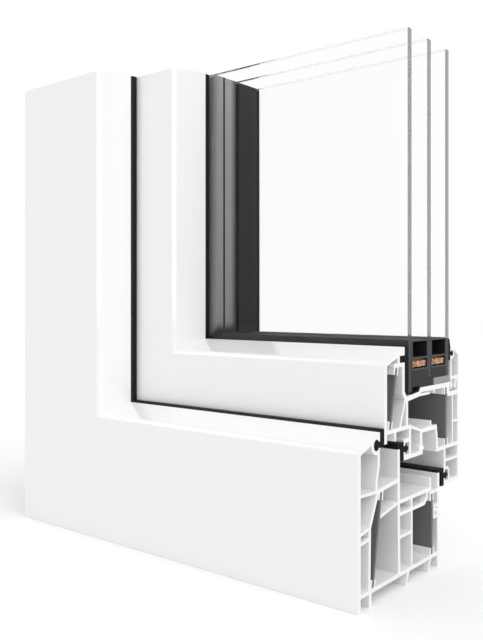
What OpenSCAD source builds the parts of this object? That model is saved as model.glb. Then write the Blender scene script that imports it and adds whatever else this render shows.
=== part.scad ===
// Corner sample of a white PVC window: the bottom rail and the left jamb of the outer frame and of
// the sash, with triple glazing, glazing beads, seals and flat reinforcing strips.
// The rail is sawn off square at its right end and the jamb at its top, so the section shows there.
// A section is drawn as [depth from the front face, height from the outer edge], in millimetres.

/* [Sample] */
// Length of the bottom rail, from the outer corner to the sawn end
rail_length = 252; // [190:1:400]
// Height of the left jamb, from the outer corner to the sawn end
jamb_height = 280; // [190:1:400]

/* [Frame profile] */
// Installation depth of the outer frame
frame_depth = 85; // [82:0.5:92]
// Height of the lip beside the front seal, measured from the outer edge
frame_lip = 80.3; // [74:0.5:95]
// Height of the fixing feet below the bottom wall
foot_height = 6.3; // [4:0.1:8]
// Rise of the bevel between the front face and the lip
frame_bevel = 6.5; // [4:0.5:9]

/* [Sash profile] */
// Distance of the sash front face behind the frame front face
sash_set_back = 24.6; // [23:0.2:26]
// Height of the sash front face, from its lower edge to the glazing line
sash_height = 45.8; // [42:0.5:60]
// Depth that the sash front wall reaches below the frame lip
sash_overlap = 6.7; // [5:0.1:8]
// Rise of the bevel between the sash face and the glazing line
sash_bevel = 6.6; // [4:0.5:9]
// Distance that the sash stands out behind the frame
inner_stand_out = 25.6; // [22:0.2:30]
// Depth of the glazing rebate below the glazing line
rebate_depth = 21.8; // [20:0.2:24]

/* [Walls] */
// Thickness of the outer walls
outer_wall = 2.7; // [2.4:0.1:3]
// Thickness of the main inner walls
inner_wall = 2; // [1.6:0.1:2.4]
// Thickness of the thin webs
thin_web = 1.4; // [1:0.1:1.8]
// Radius of the long front edges
face_round = 3.4; // [3.2:0.2:5]

/* [Reinforcing strips] */
// Thickness of the flat fibre strips
strip_thickness = 1.5; // [1:0.1:2]
// Thickness of the small prongs that hold a strip
prong_thickness = 1.1; // [0.8:0.1:1.4]
// Length of strip that the prongs hold at each end
prong_hold = 3.4; // [2:0.2:5]

/* [Glazing] */
// Thickness of each glass pane
pane_thickness = 4; // [3:0.5:4.5]
// Width of the glazing beads, front to back
bead_width = 11.4; // [10.4:0.2:13]
// Height of the packers between the rebate and the glass edge
packer_height = 3.9; // [3:0.1:5]
// Height of the spacer bars
spacer_height = 15.6; // [12:0.2:18]
// Thickness of the spacer walls
spacer_wall = 0.9; // [0.6:0.1:1.2]
// Height of the sealant between the glass edge and the spacer
sealant_height = 5.3; // [4:0.1:8]
// Height of the desiccant chamber in the spacer
desiccant_height = 4.9; // [3:0.1:6]
// Distance of the desiccant behind the sawn ends
desiccant_recess = 0.2; // [0:0.1:5]
// Length of each glazing packer
packer_length = 100; // [60:5:120]

/* [Seals] */
// Width of the gap for the front seal, between the frame lip and the sash
front_gap = 4.2; // [3.4:0.1:4.8]
// Width of the gap between the frame back and the sash overlap
inner_gap = 5.7; // [5:0.1:6.4]
// Thickness of the outer glazing seal, between the sash and the glass
glazing_gap = 3.9; // [3.4:0.1:4.4]
// Thickness of the bead seal, between the glass and the bead
bead_gap = 2; // [1.6:0.1:2.6]
// Radius of the front seal bulb
bulb_radius = 2.5; // [2:0.1:2.8]
// Clearance of seals and strips in their grooves
fit = 0.25; // [0.1:0.05:0.4]

/* [Hidden] */
OVER = 1;
ROUND = 48;
WHITE = "#f3f3f1";
BLACK = "#171717";
FIBRE = "#55565a";
GLASS = [0.80, 0.88, 0.86, 0.35];
SPACER = "#2e2f31";
SEALANT = "#3c3c3c";
DESICCANT = "#b98c69";
PACKER = "#9b9d9e";

// Frame: distances below the lip
bulb_drop = 6;
upstand_drop = 11.1;
channel_drop = 28;
back_lip_drop = 30.3;
platform_drop = 37.1;
knee_drop = 43.5;
// Frame: distances in front of the lip's back and behind the sash front face
bulb_inset = 3.1;
neck_inset = 3.2;
upstand_gap = 14.4;
// Frame: distances in front of the back face
divider_inset = 31.9;
stop_inset = 10.8;
back_strip_inset = 9;
groove_inset = 7.2;
// Frame: walls and openings of its own
bulb_wall = 1.8;
bulb_slot = 2.4;
upstand_wall = 2.4;
back_wall = 2.5;
ledge_drop = 6.2;
groove_drop = 15.2;

// Main lines of the frame
floor_top = foot_height + inner_wall;
lip_back = sash_set_back - front_gap;
frame_corner = frame_lip - frame_bevel;
bulb_at = [lip_back - bulb_inset, frame_lip - bulb_drop];
neck = lip_back - neck_inset;
channel_floor = frame_lip - channel_drop;
upstand_at = sash_set_back + upstand_gap;
upstand_top = frame_lip - upstand_drop;
platform = frame_lip - platform_drop;
ledge = platform - ledge_drop;
back_lip_top = frame_lip - back_lip_drop;
back_face = frame_depth - back_wall;
back_floor = platform - 2.2;
divider_at = frame_depth - divider_inset;
stop_at = frame_depth - stop_inset;
frame_strip_at = frame_depth - back_strip_inset;
groove_front = frame_depth - groove_inset;
groove_low = platform - groove_drop;

// Sash: distances behind its front face
front_chamber = 20.7;
nose_gap = 19.8;
nose_wall_gap = 26.6;
// Sash: distances below and above its lower edge
nose_drop = 10.7;
step_drop = 11;
leg_web_drop = 18.4;
overlap_drop = 31.6;
floor_rise = 5.3;
hardware_rise = 1.5;
// Sash: distances in front of the frame's back face and of its own
hardware_front_inset = 21.4;
hardware_back_inset = 4.2;
back_chamber = 8.7;
sash_back_wall = 2.4;

// Main lines of the sash
sash_base = frame_lip - sash_overlap;
glazing_line = sash_base + sash_height;
sash_corner = glazing_line - sash_bevel;
rebate_face = sash_set_back + front_chamber;
rebate_floor = glazing_line - rebate_depth;
sash_floor = sash_base + floor_rise;
sash_step = sash_base - step_drop;
nose_front = sash_set_back + nose_gap;
nose_wall_at = sash_set_back + nose_wall_gap;
nose_bottom = sash_base - nose_drop;
hardware_front = frame_depth - hardware_front_inset;
hardware_back = frame_depth - hardware_back_inset;
hardware_top = sash_base + hardware_rise;
overlap_front = frame_depth + inner_gap;
overlap_bottom = sash_base - overlap_drop;
sash_back = frame_depth + inner_stand_out;
sash_inner_at = sash_back - back_chamber;

// Glazing: the beads and their seals hold the panes, which fill the rest of the rebate
groove_depth = 5.2;
bead_rise = 1.4;
bead_drop = 3;
bead_groove_gap = 0.8;
bead_bulb_radius = 1.5;
bead_bulb_slot = 1.4;
adhesive_depth = 28.8;
outer_pane_drop = 1.7;
glass_front = rebate_face + glazing_gap;
bead_front = sash_back - bead_width;
glass_back = bead_front - bead_gap;
pane_space = (glass_back - glass_front - 3 * pane_thickness) / 2;
pane_pitch = pane_thickness + pane_space;
glass_edge = rebate_floor + packer_height;
spacer_base = glass_edge + sealant_height;
bead_groove = glass_back + bead_groove_gap;
groove_floor = rebate_floor - groove_depth;
bead_seat = rebate_floor + bead_rise;
bead_top = glazing_line - bead_drop;
bead_bulb_at = [bead_front + 2, glazing_line - 6.2];
adhesive_end = glass_front + adhesive_depth;
outer_edge = rebate_floor - outer_pane_drop;

// Seal anchors: the height of each anchor pocket and of its mouth
pocket_height = 5.9;
pocket_mouth = 3;
pocket_depth = 5.7;
centre_pocket = sash_base - 5.1;
inner_pocket = sash_base - 26.3;
glazing_pocket = glazing_line - 6.05;
glazing_pocket_height = 3.5;
glazing_pocket_depth = 5.1;

// Lines, bends and walls
function heading(a, b) = (b - a) / norm(b - a);
function left_of(v) = [-v[1], v[0]];
function reversed(list) = [for (i = [len(list) - 1:-1:0]) list[i]];
function normal_before(line, i) = left_of(heading(line[max(i - 1, 0)], line[max(i, 1)]));
function normal_after(line, i) =
    left_of(heading(line[min(i, len(line) - 2)], line[min(i + 1, len(line) - 1)]));
function mitred(a, b) = (a + b) / (1 + a * b);
// The same line moved to its left by d, with sharp bends
function moved(line, d) =
    [for (i = [0:len(line) - 1]) line[i] + d * mitred(normal_before(line, i), normal_after(line, i))];
// Height of the straight line a to b at depth y
function height_on(a, b, y) = a[1] + (b[1] - a[1]) * (y - a[0]) / (b[0] - a[0]);
// Depth of the straight line a to b at height z
function depth_on(a, b, z) = a[0] + (b[0] - a[0]) * (z - a[1]) / (b[1] - a[1]);

// A wall on the right of a line, whose visible face is the line itself
module skin(line, t) {
    polygon(concat(moved(line, -t), reversed(line)));
}

// The tip between a corner and the arc of radius r that rounds it, carried on a little past the corner
module corner_tip(a, corner, b, r) {
    u = heading(corner, a);
    v = heading(corner, b);
    inward = heading([0, 0], u + v);
    half = acos(u * v) / 2;
    touch = r / tan(half);
    difference() {
        polygon([corner + v * touch, corner - inward * OVER / 2, corner + u * touch]);
        translate(corner + inward * r / sin(half)) circle(r, $fn = ROUND);
    }
}

// The same wall with the second point of its line rounded on both faces
module rounded_skin(line, t, r) {
    inner = moved(line, -t);
    difference() {
        skin(line, t);
        corner_tip(line[0], line[1], line[2], r);
    }
    corner_tip(inner[0], inner[1], inner[2], r - t);
}

// A wall whose middle is the line
module web(line, t) {
    polygon(concat(moved(line, -t / 2), reversed(moved(line, t / 2))));
}

// An upright rectangle between two opposite corners
module block(a, b) {
    translate(a) square(b - a);
}

// The four prongs that hold a strip at its two ends
module strip_prongs(ends) {
    step = strip_thickness / 2 + fit + prong_thickness / 2;
    root = 2 * fit + OVER;
    along = heading(ends[0], ends[1]);
    for (side = [-step, step]) {
        line = moved(ends, side);
        web([line[0] - along * root, line[0] + along * prong_hold], prong_thickness);
        web([line[1] - along * prong_hold, line[1] + along * root], prong_thickness);
    }
}

// The flat strip itself
module strip_section(ends) {
    web(ends, strip_thickness);
}

// A pocket for a seal anchor, open to the front, with two lips at its mouth
module pocket_lips(front, middle) {
    for (side = [-1, 1]) {
        lip = middle + side * (pocket_mouth + pocket_height + OVER) / 4;
        lip_height = (pocket_height - pocket_mouth + OVER) / 2;
        block([front, lip - lip_height / 2], [front + thin_web, lip + lip_height / 2]);
    }
}

// The arrow-shaped anchor of a seal, which points to the back
module seal_anchor(front, middle) {
    neck = pocket_mouth / 2 - 2 * fit;
    barb = pocket_height / 2 - 2 * fit;
    shoulder = front + thin_web + 2 * fit;
    tip = front + pocket_depth - 2 * fit;
    polygon([
        [front - OVER, middle - neck], [shoulder, middle - neck], [shoulder, middle - barb],
        [tip, middle], [shoulder, middle + barb], [shoulder, middle + neck], [front - OVER, middle + neck]
    ]);
}

// Line of the drainage channel, which rises to the upstand
function channel_line() = [[neck, channel_floor], [upstand_at, channel_floor + 1.9]];

// Ends of the reinforcing strips in the section
function frame_front_strip() =
    let (
        low = [13.6, floor_top + 2 * fit],
        at = upstand_at - 17.4,
        channel = channel_line(),
        high = [at, height_on(channel[0], channel[1], at) - inner_wall / 2 - 2 * fit]
    )
    [low, high];
function frame_back_strip() =
    [[frame_strip_at, floor_top + fit], [frame_strip_at, back_floor - thin_web / 2 - fit]];
function sash_front_strip() =
    let (
        low = [sash_set_back + 5.7, sash_floor + inner_wall / 2 + 2 * fit],
        high = [sash_set_back + 12.2, glazing_pocket - glazing_pocket_height / 2 - inner_wall - 2 * fit]
    )
    [low, high];
function sash_back_strip() =
    let (at = bead_groove - 4.6)
    [[at, sash_step + inner_wall / 2 + fit], [at, rebate_floor - outer_wall - fit]];

// Section of the outer frame
module frame_section() {
    slot = bulb_slot / 2 + fit;
    difference() {
        union() {
            frame_front();
            frame_middle();
            frame_rear();
            frame_feet();
            strip_prongs(frame_front_strip());
            strip_prongs(frame_back_strip());
        }
        translate(bulb_at) circle(bulb_radius + fit, $fn = ROUND);
        block([bulb_at[0], bulb_at[1] - slot], [lip_back + OVER, bulb_at[1] + slot]);
        accessory_groove();
    }
}

// Front face, bevel, lip and the first chambers behind them
module frame_front() {
    foot = [0, 0];
    corner = [0, frame_corner];
    lip = [lip_back, frame_lip];
    lip_wall_at = lip_back - inner_wall / 2;
    neck_top = frame_lip - 15.8;
    neck_low = frame_lip - 22.8;
    wall_foot = 10.4;
    knee = [upstand_at - 28, frame_lip - knee_drop];
    knee_top = upstand_at - 20.4;
    shelf_drop = 5.8;
    slope = 0.8;
    rounded_skin([foot, corner, lip, [lip_back, bulb_at[1] + bulb_wall]], outer_wall,
                 max(face_round, outer_wall + 0.4));
    difference() {
        translate(bulb_at) circle(bulb_radius + fit + bulb_wall, $fn = ROUND);
        block([lip_back, 0], [sash_set_back, frame_lip]);
    }
    web([
        [lip_wall_at, bulb_at[1] - bulb_radius - fit], [lip_wall_at, neck_top],
        [neck, neck_low], [neck, channel_floor]
    ], inner_wall);
    web([[outer_wall / 2, channel_floor + slope], [neck + slope, channel_floor]], thin_web);
    web([[wall_foot, foot_height + OVER], knee, [knee_top, channel_floor]], inner_wall);
    web([[outer_wall / 2, knee[1] - 2 * slope], knee], thin_web);
    web([[outer_wall / 2, knee[1] - shelf_drop], [knee[0], knee[1] - shelf_drop + slope]], thin_web);
}

// Bottom wall, drainage channel and the upstand in the middle
module frame_middle() {
    strip = frame_front_strip();
    upstand_lean = 0.6;
    rib_end = platform - 3.2;
    rib_reach = depth_on(strip[0], strip[1], rib_end) + strip_thickness / 2 + 2 * fit;
    upstand_foot = [upstand_at + upstand_lean, foot_height + OVER];
    half_wall = [upstand_wall / 2, 0];
    block([0, foot_height], [frame_depth, floor_top]);
    web(channel_line(), inner_wall);
    polygon([
        upstand_foot - half_wall, upstand_foot + half_wall,
        [upstand_at, upstand_top] + half_wall, [upstand_at, upstand_top] - half_wall
    ]);
    web([[upstand_at, platform], [rib_reach, rib_end]], thin_web);
}

// Chambers behind the upstand, the back wall and the back lip
module frame_rear() {
    ledge_turn = frame_depth - 18;
    ledge_end = frame_depth - 14.7;
    ledge_rise = 2.4;
    shelf = ledge - 11.4;
    stop_top = back_lip_top - 0.6;
    groove_block = 6;
    web([[upstand_at, platform], [stop_at, platform]], inner_wall);
    web([
        [upstand_at, ledge], [ledge_turn, ledge], [ledge_end, ledge + ledge_rise], [ledge_end, platform]
    ], inner_wall - 0.2);
    web([[divider_at, platform], [divider_at, foot_height + OVER]], inner_wall - 0.4);
    web([[upstand_at, shelf], [divider_at, shelf]], thin_web);
    web([[stop_at, back_floor - thin_web / 2], [stop_at, stop_top]], inner_wall - 0.3);
    web([[stop_at, back_floor], [frame_depth - OVER, back_floor]], thin_web);
    block([back_face, 0], [frame_depth, back_lip_top]);
    block([groove_front, groove_low - thin_web], [frame_depth, groove_low + groove_block]);
}

// The small groove in the back face that takes clip-on trims
module accessory_groove() {
    groove_height = 4.6;
    mouth_height = 1.8;
    depth = frame_depth - groove_front - thin_web;
    translate([groove_front + thin_web, groove_low]) {
        square([depth - back_wall, groove_height]);
        translate([0, (groove_height - mouth_height) / 2]) square([depth + OVER, mouth_height]);
    }
}

// Fixing feet below the bottom wall: an upright one in front and two that lean forward behind it
module frame_feet() {
    front_foot = [10, 12.4];
    lean = 3;
    half = thin_web / 2 + 0.2;
    top = foot_height + OVER / 2;
    block([front_foot[0], 0], [front_foot[1], foot_height + OVER]);
    for (at = [divider_at - 3.3, stop_at + 0.6]) {
        polygon([[at - lean - half, 0], [at - lean + half, 0], [at + half, top], [at - half, top]]);
    }
}

// Section of the sash
module sash_section() {
    difference() {
        union() {
            sash_front();
            sash_rebate();
            sash_nose();
            sash_overlap_leg();
            strip_prongs(sash_front_strip());
            strip_prongs(sash_back_strip());
        }
        block([rebate_face - glazing_pocket_depth, glazing_pocket - glazing_pocket_height / 2],
              [rebate_face + OVER, glazing_pocket + glazing_pocket_height / 2]);
    }
}

// Front face, bevel and the front chamber
module sash_front() {
    foot = [sash_set_back, sash_base];
    corner = [sash_set_back, sash_corner];
    lip = [rebate_face, glazing_line];
    pocket_low = glazing_pocket - glazing_pocket_height / 2;
    pocket_wall = rebate_face - glazing_pocket_depth - inner_wall;
    shelf_front = sash_set_back + 9.6;
    drip_at = sash_set_back + 11.1;
    brace_foot = sash_set_back + 15.6;
    brace_top = [rebate_face + 0.8, rebate_floor - 4.6];
    second_wall_at = sash_set_back + 23.4;
    rounded_skin([foot, corner, lip, [rebate_face, pocket_low]], outer_wall,
                 max(face_round, outer_wall + 0.4));
    block([shelf_front, pocket_low - inner_wall], [rebate_face, pocket_low]);
    polygon([
        [pocket_wall, pocket_low - OVER], [rebate_face, pocket_low - OVER],
        [rebate_face, glazing_line - OVER],
        [pocket_wall, height_on(corner, lip, pocket_wall) - OVER]
    ]);
    web([[sash_set_back + OVER, sash_floor], [nose_wall_at, sash_floor]], inner_wall);
    web([[drip_at, sash_floor], [drip_at, sash_base]], thin_web + 0.3);
    web([[second_wall_at, rebate_floor - 4], [second_wall_at, sash_floor]], inner_wall);
    web([brace_top, [brace_foot, sash_floor]], thin_web + 0.2);
}

// Line of the rebate, from the glazing seal down, below the glass and into the bead groove
function rebate_line() =
    let (
        slope_front = rebate_face + 2.3,
        slope_back = glass_front + 11.8,
        step_back = glass_front + 13.3
    )
    [
        [rebate_face, glazing_pocket], [rebate_face, rebate_floor - 0.6],
        [slope_front, rebate_floor - 3.3], [slope_back, rebate_floor - 2],
        [step_back, rebate_floor], [bead_groove, rebate_floor],
        [bead_groove, groove_floor], [sash_back - OVER, groove_floor]
    ];

// Rebate, bead groove, and the back wall with its inner wall
module sash_rebate() {
    hook = 1.2;
    tie_height = hardware_top + 0.4;
    tongue = [glass_front + 12.2, glass_front + 24.2];
    tongue_low = rebate_floor - 4.4;
    clip_at = glass_front + 30;
    skin(rebate_line(), outer_wall - 0.2);
    block([tongue[0], tongue_low], [tongue[1], tongue_low + thin_web - 0.2]);
    block([clip_at - thin_web / 2, tongue_low], [clip_at + thin_web / 2, rebate_floor - OVER]);
    block([bead_groove - OVER, rebate_floor - thin_web], [bead_groove + hook, rebate_floor]);
    block([sash_back - sash_back_wall, overlap_bottom], [sash_back, bead_seat]);
    web([[sash_inner_at, sash_step], [sash_inner_at, groove_floor - OVER]], thin_web);
    web([[sash_inner_at, tie_height], [sash_back - OVER, tie_height]], thin_web - 0.2);
}

// Nose with the centre seal pocket, and the groove for the fittings
module sash_nose() {
    rib_at = hardware_back - 6.2;
    rib_height = 4.1;
    pocket_top = centre_pocket + pocket_height / 2;
    pocket_low = centre_pocket - pocket_height / 2;
    lip_front = hardware_front - 2.4;
    lip_back_edge = hardware_front + 1.6;
    lip_height = 5.4;
    nib = 3;
    nib_low = nose_bottom + 2.4;
    nib_height = 1.6;
    groove_wall = hardware_back + 1.4;
    groove_bend = sash_base - 5.6;
    web([[nose_wall_at, sash_floor + inner_wall / 2], [nose_wall_at, nose_bottom]], inner_wall + 0.2);
    block([nose_front, pocket_top], [nose_wall_at, pocket_top + inner_wall]);
    block([nose_front, nose_bottom], [nose_wall_at, pocket_low]);
    pocket_lips(nose_front, centre_pocket);
    web([[nose_wall_at, nose_bottom + OVER], [lip_back_edge, nose_bottom + OVER]], inner_wall);
    web([[nose_wall_at, sash_floor], [hardware_front + OVER, hardware_top]], thin_web);
    web([[hardware_front, hardware_top], [hardware_front, nose_bottom + OVER]], inner_wall + 0.4);
    block([lip_front, nose_bottom + OVER], [lip_back_edge, nose_bottom + lip_height]);
    block([hardware_front, nib_low], [hardware_front + nib, nib_low + nib_height]);
    web([[rib_at, hardware_top], [rib_at, hardware_top + rib_height]], thin_web);
    web([[hardware_front - OVER, hardware_top], [hardware_back + 0.4, hardware_top]], inner_wall + 0.2);
    web([
        [hardware_back, hardware_top + OVER], [groove_wall, groove_bend], [groove_wall, sash_step - OVER]
    ], inner_wall);
}

// The leg that overlaps the back of the frame, with the inner seal pocket
module sash_overlap_leg() {
    pocket_top = inner_pocket + pocket_height / 2;
    pocket_low = inner_pocket - pocket_height / 2;
    pocket_end = overlap_front + pocket_depth;
    pocket_wall = pocket_end + thin_web / 2;
    leg_web = sash_base - leg_web_drop;
    web([[hardware_back + 0.4, sash_step], [sash_back - OVER, sash_step]], inner_wall);
    block([overlap_front, pocket_top], [overlap_front + inner_wall + 0.2, sash_step]);
    web([
        [overlap_front, pocket_top + thin_web / 2], [pocket_end - OVER, pocket_top + thin_web / 2],
        [pocket_wall, pocket_top - OVER], [pocket_wall, overlap_bottom + OVER]
    ], thin_web);
    pocket_lips(overlap_front, inner_pocket);
    block([overlap_front, overlap_bottom], [sash_back - OVER, pocket_low]);
    web([[overlap_front + OVER, leg_web], [sash_back - OVER, leg_web]], thin_web);
}

// Section of the glazing bead with its two clip feet
module bead_section() {
    wall = thin_web + 0.2;
    crown_depth = 5.6;
    crown_round = 2.6;
    brow_drop = 3.8;
    brow_round = 2.6;
    foot_at = bead_groove + 2.6;
    barb_top = rebate_floor - thin_web - fit;
    barb_drop = 0.6;
    back_foot = sash_back - sash_back_wall - wall / 2 - fit;
    back_foot_lean = 2.2;
    crown = [bead_front + crown_depth, bead_top];
    brow = [sash_back, bead_top - brow_drop];
    outline = [[bead_front, bead_seat], [bead_front, bead_top], crown, brow, [sash_back, bead_seat]];
    slot = bead_bulb_slot / 2 + fit;
    difference() {
        union() {
            skin(outline, wall);
            block([bead_front, bead_seat], [sash_back, bead_seat + wall]);
            intersection() {
                polygon(reversed(outline));
                translate(bead_bulb_at) circle(bead_bulb_radius + fit + thin_web, $fn = ROUND);
            }
            block([foot_at - wall / 2, groove_floor + OVER], [foot_at + wall / 2, bead_seat + OVER]);
            polygon([
                [foot_at, groove_floor + OVER], [foot_at, barb_top],
                [bead_groove + 2 * fit, barb_top - barb_drop]
            ]);
            web([[back_foot, bead_seat + OVER], [back_foot - back_foot_lean, groove_floor + wall]], wall);
        }
        corner_tip([bead_front, bead_top], crown, brow, crown_round);
        corner_tip(crown, brow, [sash_back, bead_seat], brow_round);
        translate(bead_bulb_at) circle(bead_bulb_radius + fit, $fn = ROUND);
        block([bead_front - OVER, bead_bulb_at[1] - slot], [bead_bulb_at[0], bead_bulb_at[1] + slot]);
    }
}

// Section of the front seal: a bulb in the frame lip and a body against the sash
module seal_front_section() {
    neck_half = bulb_slot / 2;
    body_low = bulb_at[1] - 1.6;
    crown = frame_lip + 1.1;
    chamfer = 0.8;
    translate(bulb_at) circle(bulb_radius, $fn = ROUND);
    block([bulb_at[0], bulb_at[1] - neck_half], [lip_back + OVER, bulb_at[1] + neck_half]);
    polygon([
        [lip_back, body_low], [sash_set_back - OVER, body_low], [sash_set_back, bulb_at[1]],
        [sash_set_back, crown - chamfer], [sash_set_back - chamfer, crown],
        [lip_back + chamfer, crown], [lip_back, frame_lip]
    ]);
}

// Section of a seal with an anchor in the sash, a leg and a lip that rests on the top of a frame wall
module stop_seal_section(lip_front, wall_top, leg, front, leg_low, thickness, anchor) {
    lip_slant = 0.6;
    lip_back_edge = front - leg + OVER;
    block([front - leg, leg_low], [front, wall_top + thickness]);
    polygon([
        [lip_front, wall_top], [lip_back_edge, wall_top],
        [lip_back_edge, wall_top + thickness], [lip_front + lip_slant, wall_top + thickness]
    ]);
    seal_anchor(front, anchor);
}

module seal_centre_section() {
    leg = 3;
    lip_thickness = 2.8;
    stop_seal_section(upstand_at - upstand_wall / 2, upstand_top, leg, nose_front,
                      nose_bottom, lip_thickness, centre_pocket);
}

module seal_inner_section() {
    lip_thickness = 1.4;
    leg = inner_gap - 2.3;
    stop_seal_section(back_face, back_lip_top, leg, overlap_front,
                      overlap_bottom, lip_thickness, inner_pocket);
}

// Section of the outer glazing seal, which runs down the front of the outer pane
module seal_glazing_section() {
    top_gap = 0.6;
    low = rebate_floor - 0.4;
    half = glazing_pocket_height / 2 - fit;
    block([rebate_face, low], [glass_front, glazing_line - top_gap]);
    block([rebate_face - glazing_pocket_depth + fit, glazing_pocket - half],
          [rebate_face + OVER, glazing_pocket + half]);
}

// Section of the bead seal, with a lip that leans on the inner pane
module seal_bead_section() {
    neck_half = bead_bulb_slot / 2;
    low = bead_bulb_at[1] - 3.6;
    top = bead_top + 5.2;
    lip_tip = 0.7;
    shoulder = bead_top + 0.4;
    translate(bead_bulb_at) circle(bead_bulb_radius, $fn = ROUND);
    block([bead_front - OVER, bead_bulb_at[1] - neck_half], [bead_bulb_at[0], bead_bulb_at[1] + neck_half]);
    polygon([
        [glass_back, low], [bead_front, low], [bead_front, shoulder],
        [glass_back + lip_tip, top], [glass_back, top]
    ]);
}

// Section of the dark adhesive behind the outer pane, with a hollow above the step of the rebate
module adhesive_section() {
    line = rebate_line();
    lining = 0.5;
    front = glass_front + pane_thickness;
    hollow_front = front + lining;
    hollow_back = line[3][0] - lining;
    hollow_top = rebate_floor + 0.9;
    difference() {
        polygon([
            [front, height_on(line[2], line[3], front)], line[3], line[4], [adhesive_end, rebate_floor],
            [adhesive_end, glass_edge], [front, glass_edge]
        ]);
        polygon([
            [hollow_front, height_on(line[2], line[3], hollow_front) + lining],
            [hollow_back, height_on(line[2], line[3], hollow_back) + lining],
            [hollow_back + 2 * lining, rebate_floor], [hollow_back + 2 * lining, hollow_top],
            [hollow_front, hollow_top]
        ]);
    }
}

// Depth of the front of a cavity between two panes
function cavity_front(index) = glass_front + pane_thickness + index * pane_pitch;

// Section of a spacer bar, with a desiccant chamber below an empty one
module spacer_section(index) {
    difference() {
        translate([cavity_front(index), spacer_base]) square([pane_space, spacer_height]);
        desiccant_chamber(index, 0);
        translate([cavity_front(index) + spacer_wall, spacer_base + desiccant_height + 2 * spacer_wall])
            square([pane_space - 2 * spacer_wall, spacer_height - desiccant_height - 3 * spacer_wall]);
    }
}

module desiccant_chamber(index, gap) {
    translate([cavity_front(index) + spacer_wall + gap, spacer_base + spacer_wall + gap])
        square([pane_space - 2 * (spacer_wall + gap), desiccant_height - 2 * gap]);
}

module sealant_section(index) {
    translate([cavity_front(index), glass_edge]) square([pane_space, sealant_height]);
}

// Runs of a section along the rail and the jamb, cut to 45 degrees at the corner
module half_corner(length) {
    reach = rail_length + jamb_height;
    intersection() {
        rotate([90, 0, 90]) linear_extrude(length) children();
        translate([0, 2 * sash_back, 0]) rotate([90, 0, 0]) linear_extrude(3 * sash_back)
            polygon([[0, 0], [reach, 0], [reach, reach]]);
    }
}

module rail() {
    half_corner(rail_length) children();
}

module jamb() {
    mirror([1, 0, -1]) half_corner(jamb_height) children();
}

module corner_run() {
    rail() children();
    jamb() children();
}

// The same run with its sawn ends held back
module recessed_run(back) {
    half_corner(rail_length - back) children();
    mirror([1, 0, -1]) half_corner(jamb_height - back) children();
}

// The origin is the middle of the footprint, on the ground
module placed() {
    translate([-rail_length / 2, -sash_back / 2, 0]) children();
}

module frame_bottom_rail() { color(WHITE) placed() rail() frame_section(); }
module frame_left_jamb() { color(WHITE) placed() jamb() frame_section(); }
module sash_bottom_rail() { color(WHITE) placed() rail() sash_section(); }
module sash_left_jamb() { color(WHITE) placed() jamb() sash_section(); }
module bead_bottom() { color(WHITE) placed() rail() bead_section(); }
module bead_left() { color(WHITE) placed() jamb() bead_section(); }

// The outer pane reaches further down than the others
module pane(index) {
    edge = index == 0 ? outer_edge : glass_edge;
    color(GLASS) placed() translate([edge, glass_front + index * pane_pitch, edge])
        cube([rail_length - edge, pane_thickness, jamb_height - edge]);
}
module pane_outer() { pane(0); }
module pane_middle() { pane(1); }
module pane_inner() { pane(2); }

module spacer_outer() { color(SPACER) placed() corner_run() spacer_section(0); }
module spacer_inner() { color(SPACER) placed() corner_run() spacer_section(1); }
module desiccant(index) {
    color(DESICCANT) placed() recessed_run(desiccant_recess) desiccant_chamber(index, fit);
}
module desiccant_outer() { desiccant(0); }
module desiccant_inner() { desiccant(1); }
module edge_sealant_outer() { color(SEALANT) placed() corner_run() sealant_section(0); }
module edge_sealant_inner() { color(SEALANT) placed() corner_run() sealant_section(1); }
module glazing_adhesive() { color(SEALANT) placed() corner_run() adhesive_section(); }

module packer() {
    translate([0, adhesive_end + fit, rebate_floor])
        cube([packer_length, glass_back - adhesive_end - fit, packer_height]);
}
module packer_bottom() { color(PACKER) placed() translate([rail_length - packer_length, 0, 0]) packer(); }
module packer_left() {
    color(PACKER) placed() translate([0, 0, jamb_height - packer_length]) mirror([1, 0, -1]) packer();
}

module seal_front() { color(BLACK) placed() corner_run() seal_front_section(); }
module seal_centre() { color(BLACK) placed() corner_run() seal_centre_section(); }
module seal_inner() { color(BLACK) placed() corner_run() seal_inner_section(); }
module seal_glazing() { color(BLACK) placed() corner_run() seal_glazing_section(); }
module seal_bead() { color(BLACK) placed() corner_run() seal_bead_section(); }

module strip_rail(ends) { color(FIBRE) placed() rail() strip_section(ends); }
module strip_jamb(ends) { color(FIBRE) placed() jamb() strip_section(ends); }
module strip_frame_front_rail() { strip_rail(frame_front_strip()); }
module strip_frame_front_jamb() { strip_jamb(frame_front_strip()); }
module strip_frame_back_rail() { strip_rail(frame_back_strip()); }
module strip_frame_back_jamb() { strip_jamb(frame_back_strip()); }
module strip_sash_front_rail() { strip_rail(sash_front_strip()); }
module strip_sash_front_jamb() { strip_jamb(sash_front_strip()); }
module strip_sash_back_rail() { strip_rail(sash_back_strip()); }
module strip_sash_back_jamb() { strip_jamb(sash_back_strip()); }

frame_bottom_rail();
frame_left_jamb();
sash_bottom_rail();
sash_left_jamb();
bead_bottom();
bead_left();
pane_outer();
pane_middle();
pane_inner();
spacer_outer();
spacer_inner();
desiccant_outer();
desiccant_inner();
edge_sealant_outer();
edge_sealant_inner();
glazing_adhesive();
packer_bottom();
packer_left();
seal_front();
seal_centre();
seal_inner();
seal_glazing();
seal_bead();
strip_frame_front_rail();
strip_frame_front_jamb();
strip_frame_back_rail();
strip_frame_back_jamb();
strip_sash_front_rail();
strip_sash_front_jamb();
strip_sash_back_rail();
strip_sash_back_jamb();
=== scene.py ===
"""Looks of a white window corner sample: profiles, triple glazing, seals and reinforcing strips.

Each profile piece is swept again along its rail or jamb from the outline of its own sawn end, with
small fillets on its long edges. The glass gets arrises, and the spacer bars are filled with beads.
"""

import math
import random
from collections import defaultdict

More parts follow.
